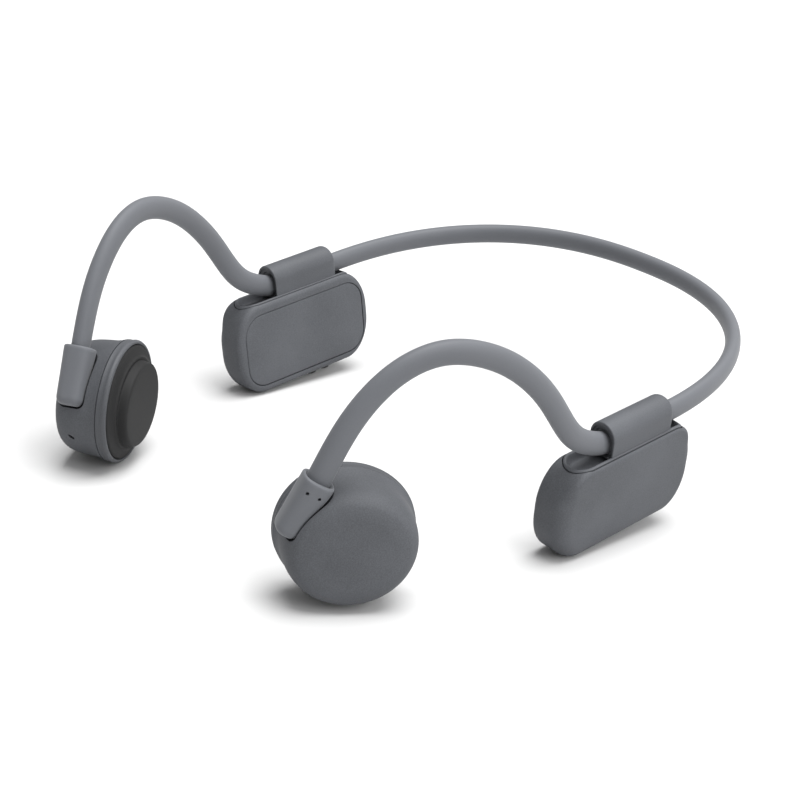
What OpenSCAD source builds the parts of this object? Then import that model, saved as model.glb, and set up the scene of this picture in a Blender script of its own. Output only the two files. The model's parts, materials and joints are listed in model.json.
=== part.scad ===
// Bone conduction headphones: a sprung neckband, two ear hooks, two electronics
// boxes behind the ears and two round transducer pods in front of the ears.
// The wearer faces -Y. The wearer's left is +X. Every side is drawn for the left
// and mirrored for the right.

/* [Overall] */
// Distance between the tubes at the two boxes
tube_gap = 104; // [90:1:125]
// Depth of the neckband, from the front of a clamp to the back of the tube
band_depth = 73; // [60:1:90]
// Height of the ear hooks above the tubes
hook_rise = 31.6; // [26:0.2:40]
// Reach of the ear hooks from the clamp to the pod clip
hook_reach = 62.4; // [55:0.2:72]
// Lean of each box about its tube
lean = 6; // [0:0.5:10]
// Pitch of the whole set where it stands on a table
stand_tilt = 6.9; // [0:0.1:10]

/* [Tubes] */
// Height of the neckband tube
band_w = 4.6; // [4:0.1:6]
// Thickness of the neckband tube
band_t = 3.4; // [3:0.1:5]
// Wide side of the ear hook tube
hook_w = 5; // [4:0.1:6]
// Thin side of the ear hook tube
hook_t = 3.6; // [3:0.1:5]
// Wide side of the channel inside each tube
channel_w = 3.1; // [2.8:0.1:3.4]
// Thin side of the channel inside each tube
channel_t = 1.7; // [1.5:0.1:2]
// Diameter of the spring wire
wire_d = 1; // [0.7:0.1:1.2]
// Diameter of the signal cable
cable_d = 1.2; // [0.8:0.1:1.3]

/* [Boxes] */
// Length of a box
box_l = 40; // [36:0.5:50]
// Height of a box
box_h = 21.6; // [20:0.2:28]
// Thickness of a box
box_t = 8.8; // [8.4:0.1:12]
// Corner radius of a box seen from the side
box_r = 8.6; // [6:0.2:10]
// Edge rounding of the outer face
edge_out = 3; // [1:0.2:3.6]
// Edge rounding of the inner face
edge_in = 1.4; // [1:0.2:3]
// Outer wall of a box
box_wall = 1.3; // [1:0.1:2]
// Height of the tube axis over the box top
tube_over_box = 1.9; // [1.5:0.1:3]
// Distance from the clamp front to the middle of the box
box_back = 6.4; // [4:0.2:9]
// Inset of the cover from the box outline
cover_inset = 2; // [1.6:0.1:3]
// Corner radius of the cover
cover_r = 5; // [4.4:0.1:7]
// Thickness of the cover
cover_t = 1.5; // [1:0.1:2]
// Width of the ledge that carries the cover
ledge = 1; // [0.8:0.1:1.5]

/* [Clamps] */
// Length of the clamp arch
clamp_l = 18.4; // [15:0.2:20]
// Width of the clamp arch
clamp_w = 6.4; // [6:0.1:8]
// Height of the arch over the tube axis
clamp_h = 4.9; // [4.4:0.1:6]
// Width of the clamp's boat-shaped base
boat_w = 7.2; // [6.8:0.1:8]
// How far the base runs ahead of the arch
boat_nose = 10; // [8:0.2:11]
// How far the base runs behind the arch
boat_tail = 4.4; // [4:0.2:8]
// Depth of the clamp's core below the box top
boat_deep = 2.6; // [2:0.1:3]
// Depth of the base's flange below the box top
flange_t = 1.3; // [1:0.1:1.4]

/* [Pods] */
// Radius of a pod
pod_r = 13; // [12:0.1:15]
// Depth of the pod shell, from the outer face to its seam
pod_depth = 10.3; // [9.5:0.1:12]
// Edge rounding of the pod's outer face
pod_edge = 5; // [3:0.2:6]
// Wall of the pod shell
pod_wall = 1.3; // [1:0.1:1.6]
// Depth of the bezel ring
bezel_t = 2.5; // [2:0.1:3]
// Radius of the pad inside the bezel
pad_r = 11.7; // [11:0.1:12]
// Radius of the raised disc of the pad
disc_r = 9.1; // [8:0.1:9.6]
// Height of the raised disc over the bezel
disc_h = 3; // [2:0.1:4]
// Turn of each pod towards the front
pod_yaw = 32; // [20:1:40]
// Tip of each pod's outer face upwards
pod_pitch = 3; // [0:0.5:6]

/* [Clips] */
// Width of the clip at its mouth
clip_w = 6.6; // [6:0.1:7]
// Width of the clip at its foot
clip_foot = 4.8; // [4:0.1:5.4]
// Length of the clip
clip_l = 12.6; // [11:0.2:14]
// Thickness of the clip
clip_t = 6.2; // [5.6:0.1:6.8]
// Slant of the clip across the pod
clip_slant = 32; // [20:1:40]

/* [Port and buttons] */
// Length of the port cover
flap_l = 11; // [10:0.1:13]
// Width of the port cover
flap_w = 4.6; // [4.4:0.1:5]
// Distance from the middle of the box to the port
port_fwd = 6.8; // [5:0.1:8]
// Diameter of a volume button
button_d = 2.8; // [2:0.1:3.2]
// Height of a button below the box
button_out = 1.2; // [0.8:0.1:1.5]
// Distance between the two buttons
button_pitch = 4.1; // [3.6:0.1:5]
// Distance from the middle of the box to the first button
button_back = 3.3; // [3:0.1:4]
// Button travel
button_travel = 0.4; // [0.2:0.05:0.5]

/* [Fits] */
// Clearance round seated pieces
fit = 0.12; // [0.08:0.01:0.2]
// Gap between the two halves of the neckband
mid_gap = 0.3; // [0.2:0.05:0.5]

/* [Hidden] */
$fn = 48;

// Unit vector
function unit(v) = v / norm(v);
// Points of an arc about a centre
function arc(cx, cy, r, from, to, n) =
    [for (k = [0:n]) let (a = from + (to - from) * k / n) [cx + r * cos(a), cy + r * sin(a)]];
// One point of a smooth curve between b and c
function between(a, b, c, d, t) =
    0.5 * (2 * b + (c - a) * t + (2 * a - 5 * b + 4 * c - d) * t * t
        + (3 * b - a - 3 * c + d) * t * t * t);
// Smooth curve through a list of points, n steps between each two
function smooth(p, n) = concat(
    [for (i = [0:len(p) - 2]) for (k = [0:n - 1])
        between(p[max(i - 1, 0)], p[i], p[i + 1], p[min(i + 2, len(p) - 1)], k / n)],
    [p[len(p) - 1]]);
// Direction of a path at one of its points
function along(p, i) = unit(p[min(i + 1, len(p) - 1)] - p[max(i - 1, 0)]);
// Wide axis and thin axis of a tube, from its direction and a rough thin axis
function wide(t, s) = unit(cross(t, s));
function thin(t, s) = cross(wide(t, s), t);
// One ring of points round a tube, at an offset along its wide axis
function ring(c, t, s, a, b, n, off) = let (w = wide(t, s), q = thin(t, s))
    [for (k = [0:n - 1]) c + (off + b * sin(360 * k / n)) * w + a * cos(360 * k / n) * q];
// All rings of a tube
function skin(p, s, a, b, n, off) =
    [for (i = [0:len(p) - 1]) each ring(p[i], along(p, i), s[i], a, b, n, off)];

// Solid tube along a path
module rod(p, s, a, b, n = 8, off = 0) {
    last = len(p) - 1;
    polyhedron(skin(p, s, a, b, n, off), concat(
        [[for (k = [0:n - 1]) k]],
        [[for (k = [n - 1:-1:0]) last * n + k]],
        [for (i = [0:last - 1]) for (k = [0:n - 1]) let (j = (k + 1) % n)
            each [[i * n + k, (i + 1) * n + k, (i + 1) * n + j], [i * n + k, (i + 1) * n + j, i * n + j]]]));
}

// Hollow tube along a path
module hose(p, s, a, b, ca, cb, n = 12) {
    last = len(p) - 1;
    m = len(p) * n;
    polyhedron(concat(skin(p, s, a, b, n, 0), skin(p, s, ca, cb, n, 0)), concat(
        [for (k = [0:n - 1]) let (j = (k + 1) % n) [k, j, m + j, m + k]],
        [for (k = [0:n - 1]) let (j = (k + 1) % n)
            [last * n + k, m + last * n + k, m + last * n + j, last * n + j]],
        [for (i = [0:last - 1]) for (k = [0:n - 1]) let (j = (k + 1) % n)
            each [[i * n + k, (i + 1) * n + k, (i + 1) * n + j], [i * n + k, (i + 1) * n + j, i * n + j]]],
        [for (i = [0:last - 1]) for (k = [0:n - 1]) let (j = (k + 1) % n)
            each [[m + i * n + k, m + i * n + j, m + (i + 1) * n + j],
                [m + i * n + k, m + (i + 1) * n + j, m + (i + 1) * n + k]]]));
}

// ---- places ----
tube_x = tube_gap / 2;
clamp_in = 3;                  // how far a tube end goes into its clamp
cable_off = -0.8;              // the cable lies low in the channel
wire_off = 0.85;               // the spring wire lies high in the channel
band_power = 2.25;             // squareness of the neckband's curve
band_lift = 0.8;               // rise of the neckband at the back
band_rings = 30;
bore_t = max(hook_t, band_t) + 2 * fit;
bore_w = max(hook_w, band_w) + 2 * fit;

// A point of the box frame, leaned about the tube
function leaned(p) = [tube_x + p[0] * cos(lean) + p[2] * sin(lean), p[1],
    p[2] * cos(lean) - p[0] * sin(lean)];

// Neckband route, from inside the clamp to the middle of the back
band_start = clamp_l + 1;
band_path = concat(
    [[tube_x, clamp_l - clamp_in, 0], [tube_x, clamp_l - 1, 0]],
    [for (i = [0:band_rings]) let (u = 90 * i / band_rings, e = 2 / band_power)
        [max(tube_x * pow(cos(u), e), mid_gap / 2),
        band_start + (band_depth - band_start) * pow(sin(u), e), band_lift * sin(u)]]);
band_side = [for (i = [0:len(band_path) - 1]) cross([0, 0, 1], along(band_path, i))];

// Pod frame: x towards the front, y up, z from the outer face inwards
pod_x = [-sin(pod_yaw), -cos(pod_yaw), 0];
pod_z = [-cos(pod_yaw) * cos(pod_pitch), sin(pod_yaw) * cos(pod_pitch), -sin(pod_pitch)];
pod_y = cross(pod_z, pod_x);
clip_dir = [sin(clip_slant), -cos(clip_slant)];
clip_mid = (clip_t + 0.8) / 2 + 0.4;      // depth of the clip's middle in the pod
mouth = [pod_r - 7.1, pod_r + 2.4];       // middle of the clip's mouth, in the pod frame
clip_run = pod_x * clip_dir[0] + pod_y * clip_dir[1];

// Ear hook route as inward, forward and up from the clamp front
ku = hook_rise / 31.6;
kf = hook_reach / 62.4;
hook_turns = [[0, 0, 0], [0, 7.6, 3.6], [0, 12, 9.6], [0.2, 15.6, 15.5], [0.7, 19.7, 20.7],
    [1.6, 24.4, 25.2], [2.8, 29.5, 28.6], [4.3, 35, 30.9], [6, 40.2, 31.6], [7.9, 45.7, 30.3],
    [10, 51.3, 26.7], [12.2, 57.2, 19.9]];
clip_at = [tube_x - 14.2, -62.4 * kf, 11.2 * ku];
seat_in = 4;                   // how far the hook goes into the clip
hook_path = concat(
    [[tube_x, clamp_in, 0], [tube_x, 1.5, 0]],
    smooth(concat([for (p = hook_turns) [tube_x - p[0], -p[1] * kf, p[2] * ku]],
        [clip_at, clip_at + seat_in * clip_run]), 2));
hook_side = [for (i = [0:len(hook_path) - 1])
    let (a = pod_yaw * pow(i / (len(hook_path) - 1), 2)) [cos(a), -sin(a), 0]];
pod_at = clip_at - pod_x * mouth[0] - pod_y * mouth[1] - pod_z * clip_mid;

// Lowest point of a box or of the port cover, which sets the height of the set over the table
down = [sin(lean) * cos(stand_tilt), -sin(stand_tilt), -cos(lean) * cos(stand_tilt)];
box_foot = -tube_over_box - box_h;
port_x = -0.5;                 // the port, in the frame of its box
port_y = box_back - port_fwd;
flap_out = 0.2;                // part of the port cover that stands proud
box_floor = (box_back - box_l / 2 + box_r) * down[1] + (box_r - tube_over_box - box_h) * down[2]
    + (box_r - edge_out) * norm([down[1], down[2]]) + edge_out + (box_t / 2 - edge_out) * abs(down[0]);
flap_floor = (port_x + flap_w / 2 - 0.9) * down[0] + (port_y - flap_l / 2 + 0.4) * down[1] + (box_foot - flap_out) * down[2];
floor_z = max(box_floor, flap_floor);
// Front and back ends, which set the middle of the set
foot_end = [(clip_foot / 2 - 1.6) * cos(clip_slant) + (clip_l - 1.6) * sin(clip_slant) + 1.6,
    (clip_foot / 2 - 1.6) * sin(clip_slant) - (clip_l - 1.6) * cos(clip_slant)];
front = clip_at + pod_x * foot_end[0] + pod_y * foot_end[1] - pod_z * clip_t / 2;
front_y = front[1] * cos(stand_tilt) - front[2] * sin(stand_tilt);
back_y = (band_depth + band_t / 2) * cos(stand_tilt) - band_lift * sin(stand_tilt);
mid_y = (front_y + back_y) / 2;

// The whole set, standing on the table
module standing() {
    translate([0, -mid_y, floor_z]) rotate([stand_tilt, 0, 0]) children();
}
// The left side as drawn, or the right side mirrored
module on_side(s) {
    standing() mirror([s < 0 ? 1 : 0, 0, 0]) children();
}
// The frame of a box and its clamp: the tube axis at the clamp's front
module at_box(s) {
    on_side(s) translate([tube_x, 0, 0]) rotate([0, lean, 0]) children();
}
// The frame of a pod
module at_pod(s) {
    on_side(s) translate(pod_at) rotate([90 + pod_pitch, 0, -90 - pod_yaw]) children();
}

// ---- box pieces ----
box_mid_z = -tube_over_box - box_h / 2;
gasket_t = 0.4;
seat_x = -box_t / 2 + cover_t + gasket_t;   // where the ledge stands
cavity_x = box_t / 2 - box_wall;            // inner side of the outer wall
roof_z = -tube_over_box - boat_deep - 1.2;  // top of the cavity
cavity_inset = cover_inset + ledge;
cavity_r = cover_r - ledge;                 // corner radius of the cavity
cavity_foot = box_foot + cavity_inset;
arch_r = clamp_w / 2;
core_w = 4.2;                               // width of the clamp's core
hook_drop = 6.2;                            // where the hook's cable turns down into the box
band_drop = clamp_l - hook_drop;

// Rounded rectangle, drawn flat
module rounded(l, h, r) {
    square([l - 2 * r, h], center = true);
    square([l, h - 2 * r], center = true);
    for (a = [-1, 1], b = [-1, 1]) translate([a * (l / 2 - r), b * (h / 2 - r)]) circle(r);
}
// Straight-sided block with the box's outline, from x0 to x1
module block(inset, r, x0, x1) {
    translate([x0, box_back, box_mid_z]) rotate([90, 0, 90])
        linear_extrude(x1 - x0) rounded(box_l - 2 * inset, box_h - 2 * inset, r);
}
// Soft-edged slab: outer edge rounded by ro, inner edge by ri
module slab(l, h, t, r, ro, ri) {
    hull() for (a = [-1, 1], b = [-1, 1])
        translate([0, a * (l / 2 - r), b * (h / 2 - r)]) rotate([0, 90, 0])
            rotate_extrude($fn = 32) polygon(concat([[0, -t / 2]],
                arc(r - ri, ri - t / 2, ri, -90, 0, 4),
                arc(r - ro, t / 2 - ro, ro, 0, 90, 5), [[0, t / 2]]));
}
// Plan outline of the clamp's base
module boat(grow) {
    w = boat_w / 2 + grow;
    translate([-w, -boat_nose + boat_w / 2])
        square([2 * w, clamp_l + boat_tail + boat_nose - boat_w]);
    translate([0, -boat_nose + boat_w / 2]) circle(w);
    translate([0, clamp_l + boat_tail - boat_w / 2]) circle(w);
}
// The base: a flange on the box top and a narrower core below it
module base(grow) {
    translate([0, 0, -tube_over_box - flange_t - grow]) linear_extrude(box_h) boat(grow);
    translate([-core_w / 2 - grow, 0.6 - grow, -tube_over_box - boat_deep - grow])
        cube([core_w + 2 * grow, clamp_l - 1.2 + 2 * grow, boat_deep]);
}
// Hole for a cable that turns down into the box
module cable_drop(y, clear) {
    translate([0, y, roof_z - 2]) cylinder(d = cable_d + 2 * clear, h = -roof_z);
}

module box_shell(s) {
    color("dimgray") at_box(s) difference() {
        translate([0, box_back, box_mid_z]) slab(box_l, box_h, box_t, box_r, edge_out, edge_in);
        block(cover_inset - fit, cover_r + fit, -box_t, seat_x);
        intersection() {
            block(cavity_inset, cavity_r, seat_x - 1, cavity_x);
            translate([-box_t, box_back - box_l, box_foot - 1])
                cube([2 * box_t, 2 * box_l, roof_z - box_foot + 1]);
        }
        base(fit);
        cable_drop(hook_drop, 0.3);
        cable_drop(band_drop, 0.3);
        if (s < 0) {
            port_hole();
            for (k = [0, 1]) translate([port_x, button_y + k * button_pitch, box_foot - 1])
                cylinder(d = button_d + 2 * button_gap, h = cavity_inset + 2);
        }
    }
}

module box_cover(s) {
    l = box_l - 2 * cover_inset;
    h = box_h - 2 * cover_inset;
    color("dimgray") at_box(s) translate([(cover_t - box_t) / 2, box_back, box_mid_z])
        slab(l, h, cover_t, cover_r, 0.2, 0.7);
}

module box_gasket(s) {
    color("black") at_box(s) difference() {
        block(cover_inset + 0.1, cover_r, seat_x - gasket_t, seat_x);
        block(cavity_inset - 0.1, cavity_r, seat_x - 1, seat_x + 1);
    }
}

// Dish in the base for a tube that leaves the arch
module dish(y, len) {
    translate([0, y, 0.3]) scale([2.9, len, tube_over_box + 2]) sphere(1, $fn = 40);
}

module clamp(s) {
    color("gray") at_box(s) difference() {
        union() {
            intersection() {
                block(-0.3, box_r, -box_t, box_t);
                base(0);
            }
            translate([0, clamp_l, 0]) rotate([90, 0, 0]) linear_extrude(clamp_l) {
                translate([0, clamp_h - arch_r]) circle(arch_r);
                translate([-arch_r, -tube_over_box - 0.5])
                    square([clamp_w, clamp_h - arch_r + tube_over_box + 0.5]);
            }
        }
        translate([0, clamp_l + 1, 0]) rotate([90, 0, 0]) scale([bore_t / 2, bore_w / 2, 1])
            cylinder(r = 1, h = clamp_l + 2);
        for (y = [-1, clamp_l - 1]) translate([0, y + 2, 0]) rotate([90, 0, 0])
            scale([bore_t / 2 + 0.6, bore_w / 2 + 0.6, 1]) cylinder(r = 1, h = 2);
        difference() {
            dish(-0.5, boat_nose - 0.5);
            translate([-5, 0.6, -6]) cube([10, 20, 12]);
        }
        difference() {
            dish(clamp_l, boat_tail - 0.5);
            translate([-5, clamp_l - 20.6, -6]) cube([10, 20, 12]);
        }
        cable_drop(hook_drop, 0.3);
        cable_drop(band_drop, 0.3);
    }
}

// Steel sleeve that joins the hook's wire to the neckband's wire
crimp_l = 7;
crimp_hold = 2.5;
module wire_crimp(s) {
    mid = clamp_l / 2;
    color("silver") on_side(s) translate([tube_x, mid, wire_off]) rotate([90, 0, 0]) difference() {
        cylinder(d = wire_d + 0.9, h = crimp_l, center = true);
        for (a = [-1, 1]) translate([0, 0, a * (crimp_l / 2 - crimp_hold / 2 + 0.1)])
            cylinder(d = wire_d + 0.1, h = crimp_hold + 0.2, center = true);
    }
}

// ---- right box: electronics ----
button_y = box_back + button_back;
button_gap = 0.15;
flap_deep = 0.65;              // part of the cover that sits in its recess
board_t = 0.8;
board_x = cavity_x - 0.6 - board_t;
board_l = box_l - 2 * cavity_inset - 2;
board_h = roof_z - cavity_foot - 1.6;
board_z = cavity_foot + 0.4;
socket = [3.2, 8.9, 6.4];
socket_z = box_foot + 1.3;
screw_y = [box_back - board_l / 2 + 2, box_back + board_l / 2 - 2];
screw_z = board_z + board_h - 2;

// Block with round ends along Y
module oblong(w, l, h) {
    linear_extrude(h) rounded(w, l, w / 2 - 0.01);
}
module port_hole() {
    translate([port_x, port_y, box_foot - 1]) {
        oblong(flap_w + 2 * button_gap, flap_l + 2 * button_gap, 1 + flap_deep + 0.1);
        translate([-socket[0] / 2 - fit, -socket[1] / 2 - fit, 0])
            cube([socket[0] + 2 * fit, socket[1] + 2 * fit, 1 + cavity_inset + 1]);
    }
}
module port_cover() {
    color("dimgray") at_box(-1) translate([port_x, port_y, box_foot - flap_out]) difference() {
        union() {
            oblong(flap_w, flap_l, flap_out + flap_deep);
            translate([-0.9, -3, 0]) cube([1.8, 6, flap_out + socket_z - box_foot + 0.9]);
        }
        translate([-flap_w, 0.1, -0.3]) cube([2 * flap_w, 0.8, 0.6]);
    }
}
module charge_socket() {
    color("silver") at_box(-1) translate([port_x, port_y, socket_z]) difference() {
        translate([-socket[0] / 2, -socket[1] / 2, 0]) cube(socket);
        translate([-1.3, -4.15, -1]) cube([2.6, 8.3, 6.2]);
    }
    color("black") at_box(-1) translate([port_x - 0.35, port_y - 3.3, socket_z + 1.4]) cube([0.7, 6.6, 3.8]);
}
module volume_button(k) {
    color("black") at_box(-1) translate([port_x, button_y + k * button_pitch, box_foot - button_out]) {
        cylinder(d = button_d, h = button_out + cavity_inset + 1.1);
        translate([0, 0, button_out + cavity_inset + 0.05]) cylinder(d = button_d + 0.9, h = 0.5);
    }
}
module volume_switches() {
    color("silver") at_box(-1) for (k = [0, 1])
        translate([port_x - 1.4, button_y + k * button_pitch - 1.6, cavity_foot + 1.1 + button_travel + 0.1])
            cube([board_x - port_x + 1.4, 3.2, 1.8]);
}
module main_board() {
    color("seagreen") at_box(-1) difference() {
        intersection() {
            translate([board_x, box_back - board_l / 2, board_z]) cube([board_t, board_l, board_h]);
            block(cavity_inset + 0.4, cavity_r - 0.4, board_x, board_x + board_t);
        }
        for (y = screw_y) translate([board_x - 1, y, screw_z]) rotate([0, 90, 0])
            cylinder(d = 1.6, h = board_t + 2);
    }
}
module board_chips() {
    color("black") at_box(-1) for (c = [[-11, 4.5, 7, 7], [-1.5, 6, 4, 4], [4.5, 6.5, 3, 3], [10, 5, 4, 5]])
        translate([board_x - 0.9, box_back + c[0], board_z + c[1]]) cube([0.9, c[2], c[3]]);
}
module board_screws() {
    color("silver") at_box(-1) for (y = screw_y) translate([board_x - 0.7, y, screw_z]) rotate([0, 90, 0]) {
        cylinder(d = 2.4, h = 0.7);
        cylinder(d = 1.4, h = 0.7 + board_t + 0.5);
    }
}

// ---- left box: power ----
cell = [4.2, 27, 12];
module battery() {
    color("silver") at_box(1)
        translate([cavity_x - 0.6 - cell[0], box_back + 1.8 - cell[1] / 2, cavity_foot + 0.9]) cube(cell);
}
module battery_foam() {
    color("dimgray") at_box(1) translate([cavity_x - 0.6, box_back + 1.8 - 12, cavity_foot + 2])
        cube([0.6, 24, 9]);
}
module battery_board() {
    color("seagreen") at_box(1) translate([cavity_x - 4, box_back + 1.8 - cell[1] / 2 - 0.9, cavity_foot + 2])
        cube([3, 0.8, 9]);
}

// ---- tubes ----
function shifted(p, s, off) = [for (i = [0:len(p) - 1]) p[i] + off * wide(along(p, i), s[i])];
x_axis = [1, 0, 0];
// The neckband's halves, each with its spring wire and its cable
module band_sleeve(s) {
    color("gray") on_side(s) hose(band_path, band_side, band_t / 2, band_w / 2, channel_t / 2, channel_w / 2);
}
band_wire_path = concat([[tube_x, clamp_l / 2 + 1.1, 0]], band_path);
band_wire_side = concat([band_side[0]], band_side);
module band_wire(s) {
    color("silver") on_side(s) rod(band_wire_path, band_wire_side, wire_d / 2, wire_d / 2, 8, wire_off);
}
band_cable_path = concat([leaned([0, band_drop, roof_z + 0.2]), leaned([0, band_drop, -3.2]),
    leaned([0, band_drop + 0.7, -1.4])], shifted(band_path, band_side, cable_off));
band_cable_side = concat([-x_axis, -x_axis, -x_axis], band_side);
module band_cable(s) {
    color("black") on_side(s) rod(band_cable_path, band_cable_side, cable_d / 2, cable_d / 2, 8);
}
// The ear hooks
module hook_sleeve(s) {
    color("gray") on_side(s) hose(hook_path, hook_side, hook_t / 2, hook_w / 2, channel_t / 2, channel_w / 2);
}
end_side = hook_side[len(hook_side) - 1];
end_wide = wide(clip_run, end_side);
wire_reach = 4;
hook_wire_path = concat([[tube_x, clamp_l / 2 - 1.1, wire_off]], shifted(hook_path, hook_side, wire_off),
    [clip_at + (seat_in + wire_reach) * clip_run + wire_off * end_wide]);
hook_wire_side = concat([hook_side[0]], hook_side, [end_side]);
module hook_wire(s) {
    color("silver") on_side(s) rod(hook_wire_path, hook_wire_side, wire_d / 2, wire_d / 2, 8);
}
cable_reach = 2;
hook_cable_path = concat([leaned([0, hook_drop, roof_z + 0.2]), leaned([0, hook_drop, -3.2]),
    leaned([0, hook_drop - 0.7, -1.4])], shifted(hook_path, hook_side, cable_off),
    [clip_at + (seat_in + cable_reach) * clip_run + cable_off * end_wide]);
hook_cable_side = concat([x_axis, x_axis, x_axis], hook_side, [end_side]);
module hook_cable(s) {
    color("black") on_side(s) rod(hook_cable_path, hook_cable_side, cable_d / 2, cable_d / 2, 8);
}

// ---- pods ----
clip_z0 = clip_mid - clip_t / 2;
lead_y = -seat_in - 1.3;
lead_end = -5.2;
// The clip's own frame: its mouth at the origin, its foot down -Y
module at_clip() {
    translate([mouth[0], mouth[1], 0]) rotate(clip_slant) children();
}
module clip_outline(grow) {
    w = clip_w / 2 + grow;
    f = clip_foot / 2 + grow;
    l = clip_l + grow;
    polygon(concat(arc(w - 0.8, grow - 0.8, 0.8, 0, 90, 4), arc(0.8 - w, grow - 0.8, 0.8, 90, 180, 4),
        arc(1.6 - f, 1.6 - l, 1.6, 180, 270, 6), arc(f - 1.6, 1.6 - l, 1.6, 270, 360, 6)));
}
module lead_hole() {
    at_clip() translate([cable_off, lead_y, clip_mid]) rotate([0, -90, 0])
        cylinder(d = cable_d + 0.4, h = cable_off - lead_end + 2);
}
module pod_shell(s) {
    face_r = pod_r - pod_edge;
    outer = concat([[0, 0]], arc(face_r, pod_edge, pod_edge, -90, 0, 10), [[pod_r, pod_depth]]);
    color("dimgray") at_pod(s) difference() {
        union() {
            rotate_extrude() polygon(concat(outer, [[pod_r - pod_wall, pod_depth]],
                arc(face_r, pod_edge, pod_edge - pod_wall, 0, -90, 10), [[0, pod_wall]]));
            cylinder(r = 4.2, h = yoke_z);
            intersection() {
                rotate_extrude() polygon(concat(outer, [[0, pod_depth]]));
                at_clip() linear_extrude(clip_z0 + clip_t + fit + 1) clip_outline(fit + 1);
            }
        }
        at_clip() translate([0, 0, -1]) linear_extrude(clip_z0 + clip_t + fit + 1) clip_outline(fit);
        lead_hole();
        if (s < 0) rotate(mic_turn) translate([pod_r - 3, 0, mic_z]) rotate([0, 90, 0])
            linear_extrude(5) rounded(1.1, 1.7, 0.54);
        translate([0, 0, pod_wall]) cylinder(r = 2.8, h = yoke_z);
    }
}
module clip(s) {
    color("gray") at_pod(s) difference() {
        at_clip() translate([0, 0, clip_z0]) linear_extrude(clip_t) clip_outline(0);
        at_clip() translate([0, 1, clip_mid]) rotate([90, 0, 0])
            scale([hook_w / 2 + fit, hook_t / 2 + fit, 1]) cylinder(r = 1, h = seat_in + 1.1);
        at_clip() translate([wire_off, 0, clip_mid]) rotate([90, 0, 0])
            cylinder(d = wire_d + 0.2, h = seat_in + wire_reach + 0.2);
        at_clip() translate([cable_off, 0, clip_mid]) rotate([90, 0, 0])
            cylinder(d = cable_d + 0.2, h = seat_in + cable_reach + 0.2);
        lead_hole();
        for (a = [-1.3, 1.3]) at_clip() translate([a, -3.2, clip_z0 - 1]) cylinder(r = 0.4, h = 1.5);
        at_clip() translate([-0.35, -9.5, clip_z0 - 1]) cube([0.7, 4, 1.3]);
    }
}
module pod_lead(s) {
    color("black") at_pod(s) at_clip() {
        translate([cable_off - cable_d / 2 - 0.05, lead_y, clip_mid]) rotate([0, -90, 0])
            cylinder(d = cable_d, h = cable_off - cable_d / 2 - 0.05 - lead_end);
        translate([lead_end, lead_y, clip_mid]) sphere(d = cable_d);
        translate([lead_end, lead_y, clip_mid]) cylinder(d = cable_d, h = yoke_z + yoke_h - clip_mid);
    }
}
ledge_z = pod_depth + 0.6;
module bezel(s) {
    top = pod_depth + bezel_t;
    in = pod_r - pod_wall - fit;
    color("dimgray") at_pod(s) rotate_extrude() polygon(concat(
        [[in - 1, pod_depth - 1.5], [in, pod_depth - 1.5], [in, pod_depth + 0.05],
        [pod_r - 0.1, pod_depth + 0.05], [pod_r, pod_depth + 0.2]],
        arc(pod_r - 0.8, top - 0.8, 0.8, 0, 90, 5),
        [[pad_r + fit, top], [pad_r + fit, ledge_z], [in - 1, ledge_z]]));
}
spring_t = 0.25;
module spring_plate(s) {
    color("silver") at_pod(s) translate([0, 0, ledge_z]) {
        difference() {
            cylinder(r = pad_r - 0.2, h = spring_t);
            translate([0, 0, -1]) cylinder(r = pad_r - 2, h = 3);
        }
        cylinder(r = 4.2, h = spring_t);
        for (a = [0, 120, 240]) rotate(a) translate([3.5, -1.1, 0]) cube([pad_r - 5, 2.2, spring_t]);
    }
}
pad_skin = 0.8;
plate_z = ledge_z + spring_t;
module pad(s) {
    rim = pod_depth + bezel_t;
    top = rim + disc_h;
    color("#484848") at_pod(s) rotate_extrude() polygon(concat(
        [[disc_r - pad_skin, plate_z + 0.01], [pad_r, plate_z + 0.01], [pad_r, rim - 0.3],
        [pad_r - 0.5, rim + 0.2], [disc_r + 0.9, rim + 0.7], [disc_r + 0.2, rim + 1]],
        arc(disc_r - 0.7, top - 0.7, 0.7, 0, 90, 4),
        [[0, top], [0, top - pad_skin], [disc_r - pad_skin, top - pad_skin]]));
}
module contact_plate(s) {
    color("white") at_pod(s) translate([0, 0, plate_z + 0.02])
        cylinder(r = disc_r - pad_skin - 0.1, h = bezel_t + disc_h - pad_skin - 0.6 - spring_t - 0.04);
}
// ---- transducer ----
yoke_r = 7.4;
yoke_h = 4.6;
yoke_z = pod_depth - 5.6;
magnet_r = 4.6;
magnet_t = 2.2;
module driver_yoke(s) {
    color("silver") at_pod(s) translate([0, 0, yoke_z]) difference() {
        cylinder(r = yoke_r, h = yoke_h);
        translate([0, 0, 1.2]) cylinder(r = yoke_r - 1, h = yoke_h);
    }
}
module driver_magnet(s) {
    color("gray") at_pod(s) translate([0, 0, yoke_z + 1.2]) cylinder(r = magnet_r, h = magnet_t);
}
module pole_plate(s) {
    color("silver") at_pod(s) translate([0, 0, yoke_z + 1.2 + magnet_t]) cylinder(r = magnet_r, h = 0.9);
}
module voice_coil(s) {
    color("chocolate") at_pod(s) translate([0, 0, yoke_z + 2]) difference() {
        cylinder(r = yoke_r - 1.3, h = yoke_h - 1.2);
        translate([0, 0, -1]) cylinder(r = magnet_r + 0.3, h = yoke_h + 2);
    }
}
module coil_former(s) {
    base = yoke_z + yoke_h + 0.8;
    color("white") at_pod(s) translate([0, 0, base]) cylinder(r = yoke_r - 1.3, h = ledge_z - base);
}
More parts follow.
